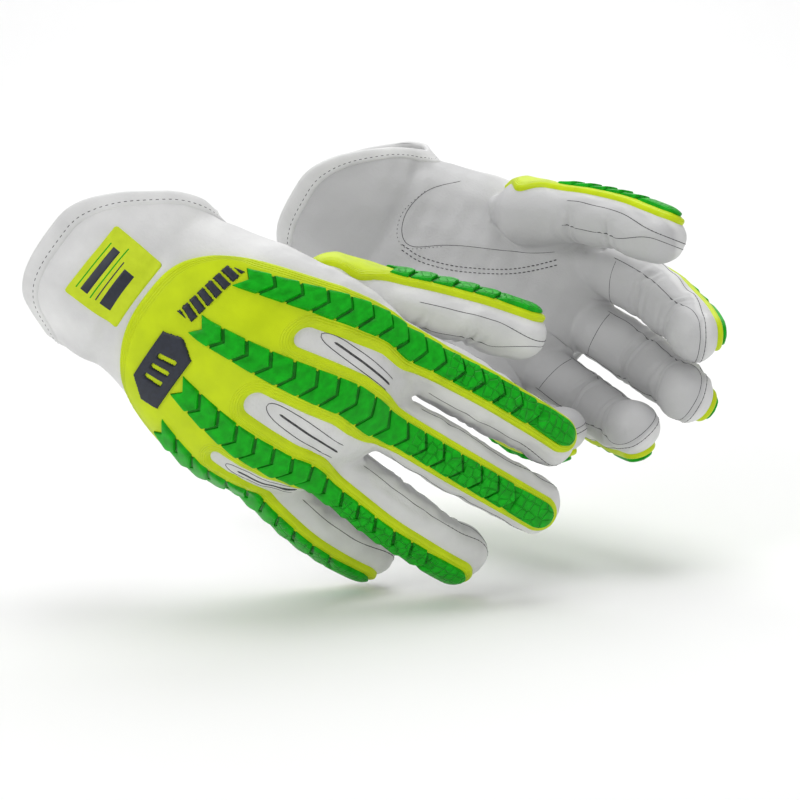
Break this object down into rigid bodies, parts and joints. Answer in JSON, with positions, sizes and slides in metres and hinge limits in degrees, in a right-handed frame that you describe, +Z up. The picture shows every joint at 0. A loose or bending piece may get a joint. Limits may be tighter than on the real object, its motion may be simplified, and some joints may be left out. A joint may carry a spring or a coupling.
{
  "type": "protective work gloves",
  "caption": "Pair of leather work gloves worn slightly cupped, with moulded ribbed impact guards over the backs of hands, fingers and thumbs, and short rounded cuffs",
  "frame": {"origin": "centre of the right glove's cuff opening", "axes": "+X toward the fingertips and a little down, +Y from the right glove to the left one, +Z up"},
  "size_m": [0.3108, 0.2496, 0.1881],
  "materials": {
    "hide": "smooth white grain hide, soft sheen",
    "guard": "high-visibility yellow moulded thermoplastic rubber, satin",
    "ribs": "bright green moulded thermoplastic rubber, satin, textured",
    "dark_trim": "blue-black rubber and thread, satin",
    "label": "printed yellow woven label"
  },
  "bodies": {
    "right_hand": {"right_cuff_back": "hide", "right_cuff_palm": "hide", "right_cuff_hem": "hide", "right_cuff_label": "label", "right_back_leather": "hide", "right_palm_leather": "hide", "right_thumb_root_leather": "hide", "right_thumb_saddle": "guard", "right_hand_guard": "guard", "right_hand_ribs": "ribs", "right_emblem": "dark_trim", "right_accent_bar": "dark_trim"},
    "right_index": {"right_index_leather": "hide", "right_index_strip": "guard", "right_index_ribs": "ribs"},
    "right_middle": {"right_middle_leather": "hide", "right_middle_strip": "guard", "right_middle_ribs": "ribs"},
    "right_ring": {"right_ring_leather": "hide", "right_ring_strip": "guard", "right_ring_ribs": "ribs"},
    "right_little": {"right_little_leather": "hide", "right_little_strip": "guard", "right_little_ribs": "ribs"},
    "right_thumb": {"right_thumb_leather": "hide", "right_thumb_strip": "guard", "right_thumb_ribs": "ribs"},
    "left_hand": {"left_cuff_back": "hide", "left_cuff_palm": "hide", "left_cuff_hem": "hide", "left_cuff_label": "label", "left_back_leather": "hide", "left_palm_leather": "hide", "left_thumb_root_leather": "hide", "left_thumb_saddle": "guard", "left_hand_guard": "guard", "left_hand_ribs": "ribs", "left_emblem": "dark_trim", "left_accent_bar": "dark_trim"},
    "left_index": {"left_index_leather": "hide", "left_index_strip": "guard", "left_index_ribs": "ribs"},
    "left_middle": {"left_middle_leather": "hide", "left_middle_strip": "guard", "left_middle_ribs": "ribs"},
    "left_ring": {"left_ring_leather": "hide", "left_ring_strip": "guard", "left_ring_ribs": "ribs"},
    "left_little": {"left_little_leather": "hide", "left_little_strip": "guard", "left_little_ribs": "ribs"},
    "left_thumb": {"left_thumb_leather": "hide", "left_thumb_strip": "guard", "left_thumb_ribs": "ribs"}
  },
  "joints": [
    {"name": "right_index_flex", "type": "hinge", "parent": "right_hand", "child": "right_index", "pos_m": [0.15431, -0.00393, -0.06412], "axis": [0.4557, 0.1802, 0.8717], "range_deg": [-5, 25]},
    {"name": "right_middle_flex", "type": "hinge", "parent": "right_hand", "child": "right_middle", "pos_m": [0.14153, -0.01346, -0.08877], "axis": [0.53, 0.0575, 0.8461], "range_deg": [-5, 25]},
    {"name": "right_ring_flex", "type": "hinge", "parent": "right_hand", "child": "right_ring", "pos_m": [0.11703, -0.01112, -0.10989], "axis": [0.6547, -0.0695, 0.7527], "range_deg": [-5, 25]},
    {"name": "right_little_flex", "type": "hinge", "parent": "right_hand", "child": "right_little", "pos_m": [0.09112, 0.00654, -0.12267], "axis": [0.7461, -0.1837, 0.64], "range_deg": [-5, 25]},
    {"name": "right_thumb_flex", "type": "hinge", "parent": "right_hand", "child": "right_thumb", "pos_m": [0.13509, 0.00959, -0.03477], "axis": [-0.1986, 0.9714, 0.1303], "range_deg": [-8, 5]},
    {"name": "left_index_flex", "type": "hinge", "parent": "left_hand", "child": "left_index", "pos_m": [0.24459, 0.10186, -0.03609], "axis": [-0.3274, 0.0759, -0.9418], "range_deg": [-10, 6]},
    {"name": "left_middle_flex", "type": "hinge", "parent": "left_hand", "child": "left_middle", "pos_m": [0.23703, 0.10852, -0.06479], "axis": [-0.4784, 0.0027, -0.8781], "range_deg": [-10, 6]},
    {"name": "left_ring_flex", "type": "hinge", "parent": "left_hand", "child": "left_ring", "pos_m": [0.21437, 0.10623, -0.08645], "axis": [-0.6134, -0.0853, -0.7851], "range_deg": [-10, 6]},
    {"name": "left_little_flex", "type": "hinge", "parent": "left_hand", "child": "left_little", "pos_m": [0.18675, 0.09358, -0.09654], "axis": [-0.6928, -0.1854, -0.6968], "range_deg": [-10, 6]},
    {"name": "left_thumb_flex", "type": "hinge", "parent": "left_hand", "child": "left_thumb", "pos_m": [0.21676, 0.09774, -0.00647], "axis": [0.6863, 0.6429, -0.3401], "range_deg": [-8, 12]},
    {"name": "glove_spacing", "type": "slide", "parent": "right_hand", "child": "left_hand", "axis": [0, 1, 0], "range_m": [0, 0.15]}
  ]
}
